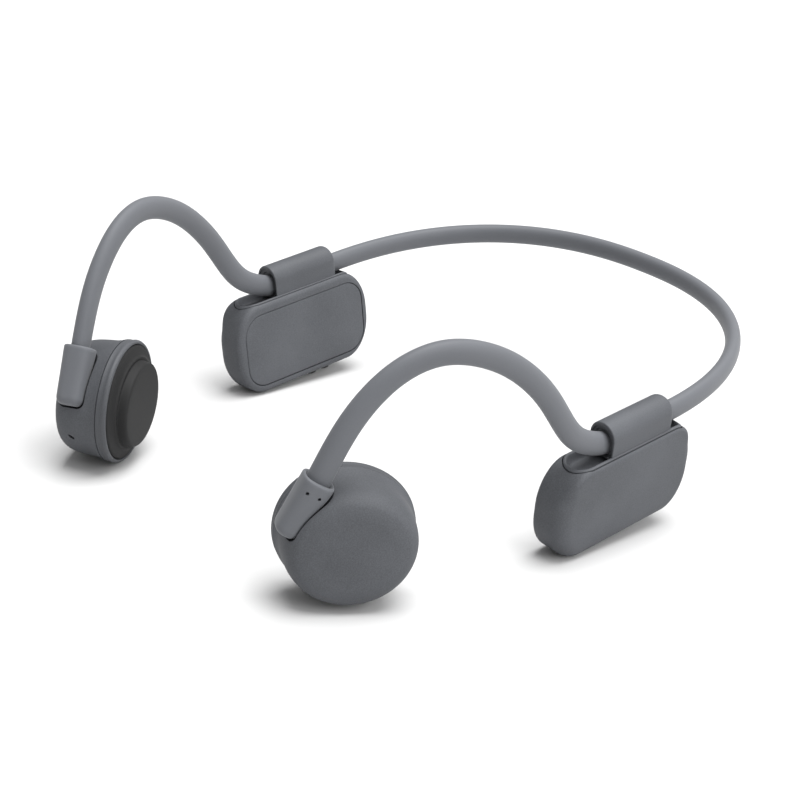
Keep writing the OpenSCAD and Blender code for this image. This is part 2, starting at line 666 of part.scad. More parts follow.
// ---- microphone ----
mic_turn = -15;
mic_z = 4.6;
module microphone() {
    color("silver") at_pod(-1) rotate(mic_turn)
        translate([pod_r - pod_wall - 1.7, 0, mic_z]) rotate([0, 90, 0]) cylinder(r = 1.5, h = 1.1);
}
module mic_mesh() {
    color("black") at_pod(-1) rotate(mic_turn)
        translate([pod_r - pod_wall - 0.52, 0, mic_z]) rotate([0, 90, 0]) cylinder(r = 1.2, h = 0.15);
}

box_shell(1);  // left_box_shell
box_shell(-1);  // right_box_shell
box_cover(1);  // left_box_cover
box_cover(-1);  // right_box_cover
box_gasket(1);  // left_box_gasket
box_gasket(-1);  // right_box_gasket
clamp(1);  // left_clamp
clamp(-1);  // right_clamp
wire_crimp(1);  // left_wire_crimp
wire_crimp(-1);  // right_wire_crimp
band_sleeve(1);  // left_band_sleeve
band_sleeve(-1);  // right_band_sleeve
band_wire(1);  // left_band_wire
band_wire(-1);  // right_band_wire
band_cable(1);  // left_band_cable
band_cable(-1);  // right_band_cable
hook_sleeve(1);  // left_hook_sleeve
hook_sleeve(-1);  // right_hook_sleeve
hook_wire(1);  // left_hook_wire
hook_wire(-1);  // right_hook_wire
hook_cable(1);  // left_hook_cable
hook_cable(-1);  // right_hook_cable
pod_shell(1);  // left_pod_shell
pod_shell(-1);  // right_pod_shell
clip(1);  // left_clip
clip(-1);  // right_clip
pod_lead(1);  // left_pod_lead
pod_lead(-1);  // right_pod_lead
bezel(1);  // left_bezel
bezel(-1);  // right_bezel
spring_plate(1);  // left_spring_plate
spring_plate(-1);  // right_spring_plate
pad(1);  // left_pad
pad(-1);  // right_pad
contact_plate(1);  // left_contact_plate
contact_plate(-1);  // right_contact_plate
driver_yoke(1);  // left_driver_yoke
driver_yoke(-1);  // right_driver_yoke
driver_magnet(1);  // left_driver_magnet
driver_magnet(-1);  // right_driver_magnet
pole_plate(1);  // left_pole_plate
pole_plate(-1);  // right_pole_plate
voice_coil(1);  // left_voice_coil
voice_coil(-1);  // right_voice_coil
coil_former(1);  // left_coil_former
coil_former(-1);  // right_coil_former
port_cover();
charge_socket();
volume_button(0);  // volume_up
volume_button(1);  // volume_down
volume_switches();
main_board();
board_chips();
board_screws();
battery();
battery_foam();
battery_board();
microphone();
mic_mesh();
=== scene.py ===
import json
import math
import bpy
import numpy as np
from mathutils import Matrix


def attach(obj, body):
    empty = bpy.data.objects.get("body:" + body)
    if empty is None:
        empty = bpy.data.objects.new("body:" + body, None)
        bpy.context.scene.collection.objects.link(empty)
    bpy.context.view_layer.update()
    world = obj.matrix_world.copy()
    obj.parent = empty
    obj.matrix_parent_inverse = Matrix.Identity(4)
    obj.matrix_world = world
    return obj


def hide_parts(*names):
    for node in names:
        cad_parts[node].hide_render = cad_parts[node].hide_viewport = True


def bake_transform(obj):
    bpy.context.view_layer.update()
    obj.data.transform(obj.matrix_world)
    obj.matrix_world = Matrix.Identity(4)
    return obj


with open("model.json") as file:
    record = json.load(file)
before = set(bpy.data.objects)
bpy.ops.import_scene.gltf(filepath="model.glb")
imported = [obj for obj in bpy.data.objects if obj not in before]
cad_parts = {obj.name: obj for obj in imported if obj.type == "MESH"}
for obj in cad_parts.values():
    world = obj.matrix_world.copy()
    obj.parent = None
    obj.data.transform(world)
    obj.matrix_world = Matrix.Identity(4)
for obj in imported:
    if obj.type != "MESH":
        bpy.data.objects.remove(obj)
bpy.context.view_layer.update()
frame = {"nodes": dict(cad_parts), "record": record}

print("frame loaded")

# Layout of the set in millimetres, as the frame has it: the wearer faces -Y, the left side is +X.
layout = {"tubeX": 52.0, "tilt": 6.9, "lean": 6.0, "clampLength": 18.4, "bandBack": 74.7, "bandLift": 0.8,
          "podYaw": 32.0, "podPitch": 3.0, "clipAt": (37.8, -62.4, 11.2), "mouth": (5.9, 15.4),
          "clipDepth": 3.9, "clipMouth": (5.6, 14.5, 4.3), "clipTurn": 33.0}
sides = {"left": 1, "right": -1}
bodyOf = {"left": "left_side", "right": "right_side"}


def turnX(degrees):
    c, s = math.cos(math.radians(degrees)), math.sin(math.radians(degrees))
    return np.array([[1, 0, 0], [0, c, -s], [0, s, c]])


def turnY(degrees):
    c, s = math.cos(math.radians(degrees)), math.sin(math.radians(degrees))
    return np.array([[c, 0, s], [0, 1, 0], [-s, 0, c]])


# The flex joint stands at a known place on the set, so it gives the shift of the whole set.
flex = [j for j in frame["record"]["behaviour"]["joints"] if j["name"] == "band_flex"][0]
standTurn = turnX(layout["tilt"])
standShift = np.array(flex["pos_m"]) * 1000 - standTurn @ np.array([0, layout["bandBack"], layout["bandLift"]])

yaw, pitch = math.radians(layout["podYaw"]), math.radians(layout["podPitch"])
podX = np.array([-math.sin(yaw), -math.cos(yaw), 0])
podZ = np.array([-math.cos(yaw) * math.cos(pitch), math.sin(yaw) * math.cos(pitch), -math.sin(pitch)])
podY = np.cross(podZ, podX)
mouthX, mouthY = layout["mouth"]
podAt = np.array(layout["clipAt"]) - podX * mouthX - podY * mouthY - podZ * layout["clipDepth"]


def inField(p, side):  # mirror to the side, tip the set to its standing pose, then metres
    return ((p * np.array([side, 1, 1])) @ standTurn.T + standShift) / 1000


def inBox(p, side):  # box frame: x outwards, y back, z up, from the tube at the clamp's front
    return inField(p @ turnY(layout["lean"]).T + np.array([layout["tubeX"], 0, 0]), side)


def inPod(p, side):  # pod frame: x forwards, y up, z inwards from the outer face
    return inField(podAt + p[..., 0:1] * podX + p[..., 1:2] * podY + p[..., 2:3] * podZ, side)


def clipToPod(p):
    a = math.radians(layout["clipTurn"])
    x, y, z = layout["clipMouth"]
    return np.stack([x + p[..., 0] * math.cos(a) + p[..., 1] * math.sin(a),
                     y + p[..., 0] * math.sin(a) - p[..., 1] * math.cos(a), z + p[..., 2]], axis=-1)


def inClip(p, side):  # clip frame: x across, away from the pod, y from the mouth to the foot, z as the pod
    return inPod(clipToPod(p), side)


def quadGrid(rows, cols, wrapRows):  # quads between each ring and the next, closed round the ring
    r = np.arange(rows if wrapRows else rows - 1)[:, None]
    c = np.arange(cols)[None, :]
    r2, c2 = (r + 1) % rows, (c + 1) % cols
    return np.stack([r * cols + c, r * cols + c2, r2 * cols + c2, r2 * cols + c], axis=-1).reshape(-1, 4)


def skin(name, rings, place, side, wrapRows=False, sharp=None):
    # rings: rows x cols x 3 points; open ends close to the middle of the end ring
    points = place(np.asarray(rings, float), side)
    rows, cols = points.shape[:2]
    quads = quadGrid(rows, cols, wrapRows)
    flat = points.reshape(-1, 3)
    tris = np.zeros((0, 3), int)
    if not wrapRows:
        first, last = len(flat), len(flat) + 1
        flat = np.vstack([flat, points[0].mean(axis=0), points[-1].mean(axis=0)])
        c = np.arange(cols)
        c2 = (c + 1) % cols
        end = (rows - 1) * cols
        tris = np.vstack([np.stack([np.full(cols, first), c2, c], axis=1),
                          np.stack([np.full(cols, last), end + c, end + c2], axis=1)])
    both = np.vstack([quads[:, [0, 1, 2]], quads[:, [0, 2, 3]], tris])
    corner = flat[both] - flat.mean(axis=0)
    if np.einsum("ij,ij->i", corner[:, 0], np.cross(corner[:, 1], corner[:, 2])).sum() < 0:
        quads, tris = quads[:, ::-1], tris[:, ::-1]
    mesh = bpy.data.meshes.new(name)
    mesh.from_pydata(flat.tolist(), [], quads.tolist() + tris.tolist())
    mesh.polygons.foreach_set("use_smooth", np.ones(len(mesh.polygons), bool))
    if sharp:
        mesh.set_sharp_from_angle(angle=math.radians(sharp))
    mesh.update()
    piece = bpy.data.objects.new(name, mesh)
    bpy.context.scene.collection.objects.link(piece)
    return piece


def carve(piece, cutters, sharp=30):  # cut shapes out of a piece and keep the result as its mesh
    for cutter in cutters:
        cut = piece.modifiers.new("cut", "BOOLEAN")
        cut.operation, cut.solver, cut.object = "DIFFERENCE", "EXACT", cutter
    graph = bpy.context.evaluated_depsgraph_get()
    mesh = bpy.data.meshes.new_from_object(piece.evaluated_get(graph))
    piece.modifiers.clear()
    piece.data = mesh
    mesh.polygons.foreach_set("use_smooth", np.ones(len(mesh.polygons), bool))
    mesh.set_sharp_from_angle(angle=math.radians(sharp))
    for cutter in cutters:
        bpy.data.objects.remove(cutter)


def finishPiece(piece, slot, body, *nodes):
    piece.data.materials.clear()
    piece.data.materials.append(look[slot])
    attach(piece, body)
    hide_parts(*nodes)


def ease(t):  # smooth step from 0 to 1
    t = np.clip(t, 0, 1)
    return t * t * (3 - 2 * t)


def unitRows(v):
    return v / np.linalg.norm(v, axis=-1, keepdims=True)


surface = {"patch": 60, "fineDetail": 2.0, "broadDetail": 3.0, "share": 0.5, "ramp": (0.35, 0.65),
           "height": 0.00005, "ior": 1.46, "shine": 0.4, "sheenRough": 0.5}


def moulded(name, spec):
    # Principled surface; a fine and a broad noise on Object coordinates vary colour, gloss and height
    mat = bpy.data.materials.new(name)
    mat.use_nodes = True
    tree = mat.node_tree
    shader = tree.nodes["Principled BSDF"]
    coords = tree.nodes.new("ShaderNodeTexCoord")
    fine = tree.nodes.new("ShaderNodeTexNoise")
    broad = tree.nodes.new("ShaderNodeTexNoise")
    noises = ((fine, spec["grain"], surface["fineDetail"]), (broad, surface["patch"], surface["broadDetail"]))
    for node, scale, detail in noises:
        tree.links.new(coords.outputs["Object"], node.inputs["Vector"])
        node.inputs["Scale"].default_value = scale
        node.inputs["Detail"].default_value = detail
    mixed = tree.nodes.new("ShaderNodeMath")
    mixed.operation = "MULTIPLY_ADD"
    mixed.inputs[1].default_value = surface["share"]
    tree.links.new(fine.outputs["Fac"], mixed.inputs[0])
    rest = tree.nodes.new("ShaderNodeMath")
    rest.operation = "MULTIPLY"
    rest.inputs[1].default_value = 1 - surface["share"]
    tree.links.new(broad.outputs["Fac"], rest.inputs[0])
    tree.links.new(rest.outputs[0], mixed.inputs[2])
    ramp = tree.nodes.new("ShaderNodeValToRGB")
    for stop, place, colour in zip(ramp.color_ramp.elements, surface["ramp"], spec["colours"]):
        stop.position = place
        stop.color = (*colour, 1)
    tree.links.new(mixed.outputs[0], ramp.inputs["Fac"])
    tree.links.new(ramp.outputs["Color"], shader.inputs["Base Color"])
    gloss = tree.nodes.new("ShaderNodeMapRange")
    gloss.inputs["To Min"].default_value = spec["rough"][0]
    gloss.inputs["To Max"].default_value = spec["rough"][1]
    tree.links.new(broad.outputs["Fac"], gloss.inputs["Value"])
    tree.links.new(gloss.outputs["Result"], shader.inputs["Roughness"])
    bump = tree.nodes.new("ShaderNodeBump")
    bump.inputs["Strength"].default_value = spec["bump"]
    bump.inputs["Distance"].default_value = surface["height"]
    tree.links.new(fine.outputs["Fac"], bump.inputs["Height"])
    tree.links.new(bump.outputs["Normal"], shader.inputs["Normal"])
    shader.inputs["Metallic"].default_value = spec.get("metal", 0.0)
    shader.inputs["IOR"].default_value = surface["ior"]
    shader.inputs["Specular IOR Level"].default_value = spec.get("shine", surface["shine"])
    shader.inputs["Sheen Weight"].default_value = spec.get("sheen", 0.0)
    shader.inputs["Sheen Roughness"].default_value = surface["sheenRough"]
    return mat


def grey(level, warm=0.0):
    return (level * (0.955 + warm), level, level * (1.10 - 2 * warm))


finishes = {
    "silicone": {"colours": (grey(0.114), grey(0.122)), "shine": 0.3, "rough": (0.52, 0.60),
                 "grain": 5000, "bump": 0.05, "sheen": 0.12},
    "shell_plastic": {"colours": (grey(0.068), grey(0.102)), "shine": 0.25, "rough": (0.58, 0.68),
                      "grain": 4200, "bump": 0.28},
    "clamp_plastic": {"colours": (grey(0.076), grey(0.098)), "shine": 0.25, "rough": (0.50, 0.60),
                      "grain": 4600, "bump": 0.16},
    "bezel_plastic": {"colours": (grey(0.064), grey(0.086)), "shine": 0.3, "rough": (0.48, 0.58),
                      "grain": 4600, "bump": 0.15},
    "pad_silicone": {"colours": (grey(0.017, 0.04), grey(0.020, 0.04)), "shine": 0.2,
                     "rough": (0.60, 0.70), "grain": 4000, "bump": 0.10},
    "flap_silicone": {"colours": (grey(0.05), grey(0.06)), "rough": (0.55, 0.65), "grain": 4600,
                      "bump": 0.15},
    "gasket_rubber": {"colours": (grey(0.012), grey(0.016)), "rough": (0.6, 0.75), "grain": 3000,
                      "bump": 0.2},
    "button_plastic": {"colours": (grey(0.006), grey(0.009)), "rough": (0.40, 0.52),
                       "grain": 4600, "bump": 0.1},
    "steel": {"colours": (grey(0.55), grey(0.62)), "rough": (0.28, 0.42), "grain": 2500,
              "bump": 0.1, "metal": 1.0},
    "spring_steel": {"colours": (grey(0.50), grey(0.56)), "rough": (0.22, 0.36), "grain": 3500,
                     "bump": 0.12, "metal": 1.0},
    "magnet": {"colours": (grey(0.60), grey(0.68)), "rough": (0.12, 0.22), "grain": 1500,
               "bump": 0.05, "metal": 1.0},
    "copper": {"colours": ((0.50, 0.20, 0.09), (0.62, 0.28, 0.13)), "rough": (0.3, 0.4),
               "grain": 5200, "bump": 0.5, "metal": 1.0},
    "cable_jacket": {"colours": (grey(0.018), grey(0.026)), "rough": (0.4, 0.55), "grain": 2500,
                     "bump": 0.1},
    "white_plastic": {"colours": ((0.70, 0.70, 0.67), (0.76, 0.76, 0.73)), "rough": (0.4, 0.5),
                      "grain": 3000, "bump": 0.1},
    "board": {"colours": ((0.010, 0.11, 0.045), (0.022, 0.17, 0.07)), "rough": (0.3, 0.45),
              "grain": 1400, "bump": 0.3},
    "chip": {"colours": (grey(0.016), grey(0.022)), "rough": (0.5, 0.6), "grain": 4000, "bump": 0.2},
    "cell_foil": {"colours": (grey(0.52), grey(0.62)), "rough": (0.3, 0.5), "grain": 900,
                  "bump": 0.4, "metal": 1.0},
    "foam": {"colours": (grey(0.035), grey(0.06)), "rough": (0.8, 0.95), "grain": 3600, "bump": 0.8},
    "can": {"colours": ((0.60, 0.56, 0.46), (0.68, 0.64, 0.54)), "rough": (0.25, 0.35),
            "grain": 2500, "bump": 0.1, "metal": 1.0},
    "mesh": {"colours": (grey(0.012), grey(0.03)), "rough": (0.7, 0.85), "grain": 6000, "bump": 0.8},
}
look = {name: moulded(name, spec) for name, spec in finishes.items()}
slotOf = {part["node"]: part["material_slot"] for part in frame["record"]["subparts"]}
for node, slot in slotOf.items():
    solid = frame["nodes"][node]
    solid.data.materials.clear()
    solid.data.materials.append(look[slot])
print("materials made")

view = {"turn": 46.861, "rise": 27.734, "away": 433.53, "right": -4.658, "up": -8.891, "lens": 90.04,
        "sensor": 36, "nearest": 0.01}
az, el = math.radians(view["turn"]), math.radians(view["rise"])
backAxis = np.array([math.sin(az) * math.cos(el), -math.cos(az) * math.cos(el), math.sin(el)])
rightAxis = np.array([math.cos(az), math.sin(az), 0])
upAxis = np.cross(backAxis, rightAxis)
eye = rightAxis * view["right"] + upAxis * view["up"] + backAxis * view["away"]
camData = bpy.data.cameras.new("camera")
camData.lens = view["lens"]
camData.sensor_width = view["sensor"]
camData.clip_start = view["nearest"]
camera = bpy.data.objects.new("camera", camData)
bpy.context.scene.collection.objects.link(camera)
axes = standTurn @ np.stack([rightAxis, upAxis, backAxis], axis=1)
pose = np.eye(4)
pose[:3, :3] = axes
pose[:3, 3] = inField(eye, 1)
camera.matrix_world = [list(row) for row in pose.T.tolist()]
bpy.context.scene.camera = camera

studio = {"floorSize": 6.0, "floor": 0.60, "sky": 0.34, "aim": (0, 0, 0.02),
          "lamps": (("overhead", "SUN", (0.08, 0.12, 1.0), math.radians(50), 4.7),
                    ("side", "AREA", (0.95, 0.1, 0.6), 0.8, 7.5),
                    ("back", "AREA", (-0.1, 0.9, 0.6), 0.7, 1.2))}
s = studio["floorSize"]
floorMesh = bpy.data.meshes.new("floor")
floorMesh.from_pydata([(-s, -s, 0), (s, -s, 0), (s, s, 0), (-s, s, 0)], [], [(0, 1, 2, 3)])
floor = bpy.data.objects.new("floor", floorMesh)
bpy.context.scene.collection.objects.link(floor)
paperSpec = {"colours": ((studio["floor"],) * 3,) * 2, "rough": (0.8, 0.9), "grain": 900, "bump": 0.02}
paper = moulded("paper", paperSpec)
floorMesh.materials.append(paper)
world = bpy.context.scene.world or bpy.data.worlds.new("studio")
bpy.context.scene.world = world
world.use_nodes = True
world.node_tree.nodes["Background"].inputs["Color"].default_value = (1, 1, 1, 1)
world.node_tree.nodes["Background"].inputs["Strength"].default_value = studio["sky"]
for name, kind, spot, size, power in studio["lamps"]:
    data = bpy.data.lights.new(name, kind)
    setattr(data, "angle" if kind == "SUN" else "size", size)
    data.energy = power
    lamp = bpy.data.objects.new(name, data)
    lamp.location = spot
    aim = -np.array(spot) + np.array(studio["aim"])
    tip = math.atan2(math.hypot(aim[0], aim[1]), -aim[2])
    lamp.rotation_euler = (tip, 0, math.atan2(aim[1], aim[0]) - math.pi / 2)
    bpy.context.scene.collection.objects.link(lamp)
bpy.context.scene.view_settings.view_transform = "Standard"
print("camera, floor and lamps set")

hookPiece = {"start": 3.0, "wide": 2.5, "thin": 1.8, "power": 2.15, "seat": 4.0, "steps": 14, "round": 72,
             "turns": ((0, 0, 0), (0, 7.6, 3.6), (0, 12, 9.6), (0.2, 15.6, 15.5), (0.7, 19.7, 20.7),
                       (1.6, 24.4, 25.2), (2.8, 29.5, 28.6), (4.3, 35, 30.9), (6, 40.2, 31.6),
                       (7.9, 45.7, 30.3), (10, 51.3, 26.7), (12.2, 57.2, 19.9))}
bandPiece = {"tall": 2.3, "thin": 1.7, "power": 2.25, "section": 2.15, "steps": 220, "round": 72,
             "legIn": 3, "legOut": 1, "legSteps": 7, "flexFrom": (50.0, 66, 0.8)}
# spring and cable: half width, and how far off the tube's middle
rodPiece = {"spring": (0.5, 0.85), "cable": (0.6, -0.8), "round": 20}


def smoothPath(knots, steps):
    # Catmull-Rom curve through the knots, all spans at once, then a short running mean along it
    k = np.vstack([2 * knots[0] - knots[1], knots, 2 * knots[-1] - knots[-2]])
    t = (np.arange(steps) / steps)[None, :, None]
    a, b, c, d = (k[i:len(k) - 3 + i, None, :] for i in range(4))
    run = 0.5 * (2 * b + (c - a) * t + (2 * a - 5 * b + 4 * c - d) * t ** 2 + (3 * b - a - 3 * c + d) * t ** 3)
    run = np.vstack([run.reshape(-1, 3), knots[-1]])
    n = steps
    padded = np.vstack([np.repeat(run[:1], n, 0) + (np.arange(-n, 0)[:, None]) * (run[1] - run[0]), run,
                        np.repeat(run[-1:], n, 0) + (np.arange(1, n + 1)[:, None]) * (run[-1] - run[-2])])
    weight = np.hanning(2 * n + 3)[1:-1]
    weight /= weight.sum()
    return np.stack([np.convolve(padded[:, i], weight, "valid") for i in range(3)], axis=1)


def tubeRings(path, side, wide, thin, power, cols):
    # a rounded oval round each point: wide half across the thin axis, thin half along it
    along = unitRows(np.gradient(path, axis=0))
    w = unitRows(np.cross(along, side))
    q = np.cross(w, along)
    a = np.linspace(0, 2 * np.pi, cols, endpoint=False)
    ca, sa = np.cos(a), np.sin(a)
    x = np.sign(ca) * np.abs(ca) ** (2 / power)
    y = np.sign(sa) * np.abs(sa) ** (2 / power)
    across = wide * y[None, :, None] * w[:, None, :]
    return path[:, None, :] + across + thin * x[None, :, None] * q[:, None, :]


inClipEnd = clipToPod(np.array([[0.0, 0, 0], [0, hookPiece["seat"], 0]]))
hookEnd = podAt + inClipEnd[:, 0:1] * podX + inClipEnd[:, 1:2] * podY + inClipEnd[:, 2:3] * podZ
turns = np.array(hookPiece["turns"], float) * np.array([-1, -1, 1]) + np.array([layout["tubeX"], 0, 0])
knots = np.vstack([[layout["tubeX"], hookPiece["start"], 0], turns, hookEnd])
hookPath = smoothPath(knots, hookPiece["steps"])
bend = yaw * np.linspace(0, 1, len(hookPath)) ** 2
hookSide = np.stack([np.cos(bend), -np.sin(bend), 0 * bend], axis=1)
hookRings = tubeRings(hookPath, hookSide, hookPiece["wide"], hookPiece["thin"], hookPiece["power"],
                      hookPiece["round"])
for name, side in sides.items():
    hook = skin(name + "Hook", hookRings, inField, side)
    finishPiece(hook, "silicone", bodyOf[name], name + "_hook_sleeve")

u = np.linspace(0, np.pi, bandPiece["steps"])
e = 2 / bandPiece["power"]
front = layout["clampLength"] + bandPiece["legOut"]
curve = np.stack([layout["tubeX"] * np.sign(np.cos(u)) * np.abs(np.cos(u)) ** e,
                  front + (layout["bandBack"] - bandPiece["thin"] - front) * np.abs(np.sin(u)) ** e,
                  layout["bandLift"] * np.sin(u)], axis=1)
legs = np.linspace(layout["clampLength"] - bandPiece["legIn"], front, bandPiece["legSteps"] + 1)[:-1]
leg = np.stack([np.full(len(legs), layout["tubeX"]), legs, 0 * legs], axis=1)
bandPath = np.vstack([leg, curve, (leg * np.array([-1, 1, 1]))[::-1]])
gaps = np.r_[0, np.cumsum(np.linalg.norm(np.diff(bandPath, axis=0), axis=1))]
even = np.linspace(0, gaps[-1], bandPiece["steps"])
bandPath = np.stack([np.interp(even, gaps, bandPath[:, i]) for i in range(3)], axis=1)
bandSide = np.cross([0, 0, 1], unitRows(np.gradient(bandPath, axis=0)))


def bandRod(name, slot, tall, thin, off, cols, nodes):
    # a rounded oval carried along the band at an offset from its middle
    along = unitRows(np.gradient(bandPath, axis=0))
    path = bandPath + off * np.cross(bandSide, along) * -1
    rings = tubeRings(path, bandSide, tall, thin, bandPiece["section"], cols)
    rod = skin(name, rings, inField, 1)
    rod.data.materials.append(look[slot])
    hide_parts(*nodes)
    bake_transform(rod)


bandRod("neckband", "silicone", bandPiece["tall"], bandPiece["thin"], 0, bandPiece["round"],
        ("left_band_sleeve", "right_band_sleeve"))
for name, slot, key, node in (("bandSpring", "spring_steel", "spring", "band_wire"),
                              ("bandCable", "cable_jacket", "cable", "band_cable")):
    thick, off = rodPiece[key]
    bandRod(name, slot, thick, thick, off, rodPiece["round"], ("left_" + node, "right_" + node))
print("tubes made")

boxPiece = {"length": 40.0, "height": 21.6, "thick": 8.8, "mid": (6.4, -12.7), "inset": 2.0, "dome": 0.25,
            "cornerLong": 7.4, "cornerHigh": 9.6, "edgeOut": 3.2, "edgeTop": 1.0, "edgeIn": 1.3,
            "blend": (8, 5.5)}
coverPiece = {"shift": (0.3, -0.3), "corner": 5.2, "thick": 1.5, "fit": 0.02, "gap": 0.09, "edge": 0.36,
              "crown": 0.12}
clear = 2  # how far outside a piece its cutters start


def roundedRing(halfLong, halfHigh, radius, perCorner=26, perSide=14, tall=None):
    # one ring of a rounded rectangle: quarter ellipses joined by straight runs, x long and y high
    tall = radius if tall is None else tall
    a = np.linspace(0, np.pi / 2, perCorner)
    quarter = np.stack([np.cos(a) * radius, np.sin(a) * tall], axis=1)
    parts = []
    for k, (sx, sy) in enumerate(((1, 1), (-1, 1), (-1, -1), (1, -1))):
        arc = quarter if k % 2 == 0 else quarter[::-1]
        arc = arc * [sx, sy] + [sx * (halfLong - radius), sy * (halfHigh - tall)]
        parts.append(arc)
    ring = []
    for k in range(4):
        start, stop = parts[k][-1], parts[(k + 1) % 4][0]
        t = np.linspace(0, 1, perSide + 2)[1:-1, None]
        ring += [parts[k], start + (stop - start) * t]
    return np.vstack(ring)


half = boxPiece["thick"] / 2


def shellRings():
    # the outline moves inwards in proportion to the inset, so each point has its own edge rounding:
    # wide round the outer face, and narrow along the top, beside the clamp
    p = boxPiece
    long, high = p["length"] / 2, p["height"] / 2
    outline = roundedRing(long, high, p["cornerLong"], tall=p["cornerHigh"])
    inward = roundedRing(long - 1, high - 1, p["cornerLong"] - 1, tall=p["cornerHigh"] - 1) - outline
    below, over = p["blend"]
    edge = p["edgeOut"] + (p["edgeTop"] - p["edgeOut"]) * ease((outline[:, 1] + p["mid"][1] + below) / over)
    face = outline + inward * edge[:, None]
    rings = [(face * s, half - p["dome"] * s ** 4 + 0 * edge) for s in np.linspace(0.02, 1, 26)]
    for v in np.radians(np.linspace(84, 0, 12)):
        drawn = inward * (edge * (1 - math.cos(v)))[:, None]
        rings.append((outline + drawn, half - p["dome"] - edge * (1 - math.sin(v))))
    for v in np.radians(np.linspace(0, 88, 9)):
        drawn = inward * p["edgeIn"] * (1 - math.cos(v))
        rings.append((outline + drawn, p["edgeIn"] * (1 - math.sin(v)) - half + 0 * edge))
    rings.append((outline + inward * p["inset"], 0 * edge - half))
    rings += [((outline + inward * p["inset"]) * s, 0 * edge - half) for s in (0.8, 0.4, 0.05)]
    return np.array([np.column_stack([x, o[:, 0] + p["mid"][0], o[:, 1] + p["mid"][1]]) for o, x in rings])


coverHalf = (boxPiece["length"] / 2 - boxPiece["inset"], boxPiece["height"] / 2 - boxPiece["inset"])
coverMid = np.array(boxPiece["mid"]) + coverPiece["shift"]


def coverRings(steps):
    # rounded rectangles at (inset, depth, scale) steps, from the middle of the outer face to the back
    rings = []
    for inset, x, scale in steps:
        ring = roundedRing(coverHalf[0] - inset, coverHalf[1] - inset, coverPiece["corner"] - inset) * scale
        rings.append(np.column_stack([np.full(len(ring), x), ring[:, 0], ring[:, 1]]))
    return np.array(rings) + np.array([0, *coverMid])


coverGap, coverEdge = coverPiece["gap"], coverPiece["edge"]
coverSteps = [(coverGap + coverEdge, -half - coverPiece["crown"] * (1 - s ** 4), s)
              for s in np.linspace(0.03, 1, 22)]
coverSteps += [(coverGap + coverEdge * (1 - math.sin(v)), -half + coverEdge * (1 - math.cos(v)), 1)
               for v in np.radians(np.linspace(8, 90, 7))]
coverSteps += [(coverGap, -half + coverPiece["thick"], s) for s in (1, 0.6, 0.2)]

# mouth: rows at (share of the wall from the bore outwards, distance from the front end)
clampPiece = {"length": 18.4, "halfWide": 3.3, "crown": 4.9, "foot": -2.6, "boreThin": 1.84, "boreWide": 2.54,
              "bevel": (0.1, 0.3), "back": (0.4, 1.3), "boatHalf": 3.55, "nose": -9.2, "tail": 22.4,
              "tailRound": 2.6, "square": 0.55, "rim": 0.14, "top": -1.9, "gap": 0.22, "seat": (-1.3, 0, 4),
              "follow": 0.85, "trough": (1.6, 0.45, 1.2), "lip": (0.14, 0.25), "skirt": (0.12, 0.4, 1.2, 2.2),
              "mouth": ((0.0, 2.4), (0.0, 0.9), (0.05, 0.82), (0.34, 0.78), (0.38, 0.7), (0.40, 0.46),
                        (0.44, 0.4), (0.66, 0.38), (0.70, 0.32), (0.72, 0.08), (0.75, 0.02), (0.9, 0.0))}


def boatOutline(grow=0.0, cols=120):
    # a half circle at the nose and a squarer half oval at the tail, each as its core line and its reach
    a = np.linspace(0, 2 * np.pi, cols, endpoint=False)
    c, s = np.cos(a), np.sin(a)
    R, T = clampPiece["boatHalf"] + grow, clampPiece["tailRound"] + grow
    tail = s >= 0
    x = np.where(tail, np.sign(c) * np.abs(c) ** clampPiece["square"], c) * R
    y = np.where(tail, T * np.abs(s) ** clampPiece["square"], R * s)
    return x, y, np.where(tail, clampPiece["tail"] - T + grow, clampPiece["nose"] + R - grow)


def topDrop(y):  # how far the box's top edge has fallen at y, along the elliptic corners
    p = boxPiece
    t = np.clip((np.abs(y - p["mid"][0]) - (p["length"] / 2 - p["cornerLong"])) / p["cornerLong"], 0, 0.98)
    return p["cornerHigh"] * (1 - np.sqrt(1 - t * t))


def boatSeat():
    x, y, core = boatOutline(clampPiece["gap"])
    base = clampPiece["top"] - topDrop(core + y)
    return np.array([np.column_stack([x, core + y, base + z]) for z in clampPiece["seat"]])


print("box profiles ready")

portPiece = {"x": -0.5, "y": -0.4, "foot": -23.5, "long": 11.3, "wide": 4.9, "deep": 0.75, "flat": 0.02}
buttonPiece = {"y": (9.7, 13.8), "r": 1.55, "deep": 1.5}


def post(name, outline, z0, z1, place, side):
    # straight cutter: one outline carried from z0 to z1
    rings = np.array([np.column_stack([outline, np.full(len(outline), z)]) for z in np.linspace(z0, z1, 3)])
    return skin(name, rings, place, side)


def circleRing(cx, cy, rx, ry, count=48):
    a = np.linspace(0, 2 * np.pi, count, endpoint=False)
    return np.column_stack([cx + rx * np.cos(a), cy + ry * np.sin(a)])


def coverSeat(side):  # the cover's own tighter corners, cut from the inner face
    fit = coverPiece["fit"]
    ring = roundedRing(coverHalf[0] + fit, coverHalf[1] + fit, coverPiece["corner"] + fit) + coverMid
    depths = (-half - clear, -half, -half + coverPiece["thick"])
    return skin("seat", np.array([np.column_stack([np.full(len(ring), x), ring]) for x in depths]), inBox, side)


def portCutters(side):  # the port's slot and the two button holes in the lower edge
    p, foot = portPiece, portPiece["foot"]
    slot = roundedRing(p["long"] / 2, p["wide"] / 2, p["wide"] / 2 - p["flat"])[:, ::-1] + [p["x"], p["y"]]
    cutters = [post("portSeat", slot, foot - clear, foot + p["deep"], inBox, side)]
    for y in buttonPiece["y"]:
        ring = circleRing(p["x"], y, buttonPiece["r"], buttonPiece["r"])
        cutters.append(post("buttonHole", ring, foot - clear, foot + buttonPiece["deep"], inBox, side))
    return cutters


